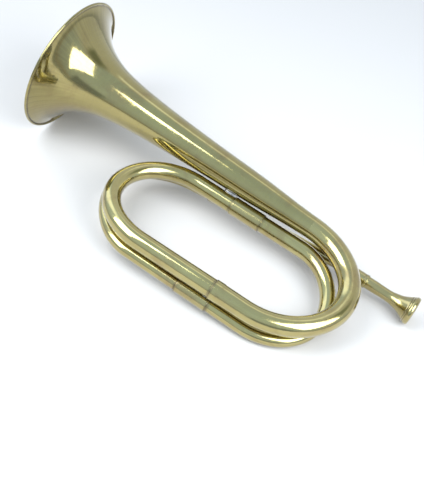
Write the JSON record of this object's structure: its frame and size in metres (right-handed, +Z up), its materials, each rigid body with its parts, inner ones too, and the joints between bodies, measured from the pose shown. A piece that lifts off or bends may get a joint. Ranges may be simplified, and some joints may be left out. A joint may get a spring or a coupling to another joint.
{
  "type": "bugle",
  "caption": "Conical two-turn brass bugle: flared bell with a rolled rim, nested U-bends of tapering tube joined by sleeves, and a pull-out cup mouthpiece.",
  "frame": {"origin": "centre of the bounding box at its base, on the surface the bugle lies on", "axes": "+X runs along the instrument from the bell mouth towards the mouthpiece, -Y is towards the lower legs of the loop, +Z is up from the surface; the bell axis is tipped by about 6 degrees about Y and the loop by about 7 degrees about X, as the instrument lies at rest on the bell rim, the inner right bow and the mouthpiece rim"},
  "size_m": [0.378, 0.1806, 0.1264],
  "materials": {
    "brass_lacquer": "polished and lacquered",
    "brass_mouthpiece": "polished",
    "solder": "dull grey soft solder",
    "wire": "plain drawn wire"
  },
  "bodies": {
    "bugle_body": {"bell": "brass_lacquer", "rim_wire": "wire", "bell_bow": "brass_lacquer", "front_left_bow": "brass_lacquer", "upper_sleeve": "brass_lacquer", "right_inner_bow": "brass_lacquer", "lower_rear_sleeve": "brass_lacquer", "rear_left_bow": "brass_lacquer", "leadpipe_ferrule": "brass_lacquer", "leadpipe": "brass_lacquer", "mouthpiece_receiver": "brass_lacquer", "solder_bell_tube": "solder", "solder_lower_legs": "solder", "solder_right_bows": "solder", "solder_leadpipe": "solder"},
    "mouthpiece": {"mouthpiece": "brass_mouthpiece"}
  },
  "joints": [
    {"name": "mouthpiece_slide", "type": "slide", "parent": "bugle_body", "child": "mouthpiece", "axis": [0.9991, -0.0256, -0.034], "range_m": [0, 0.04]}
  ]
}
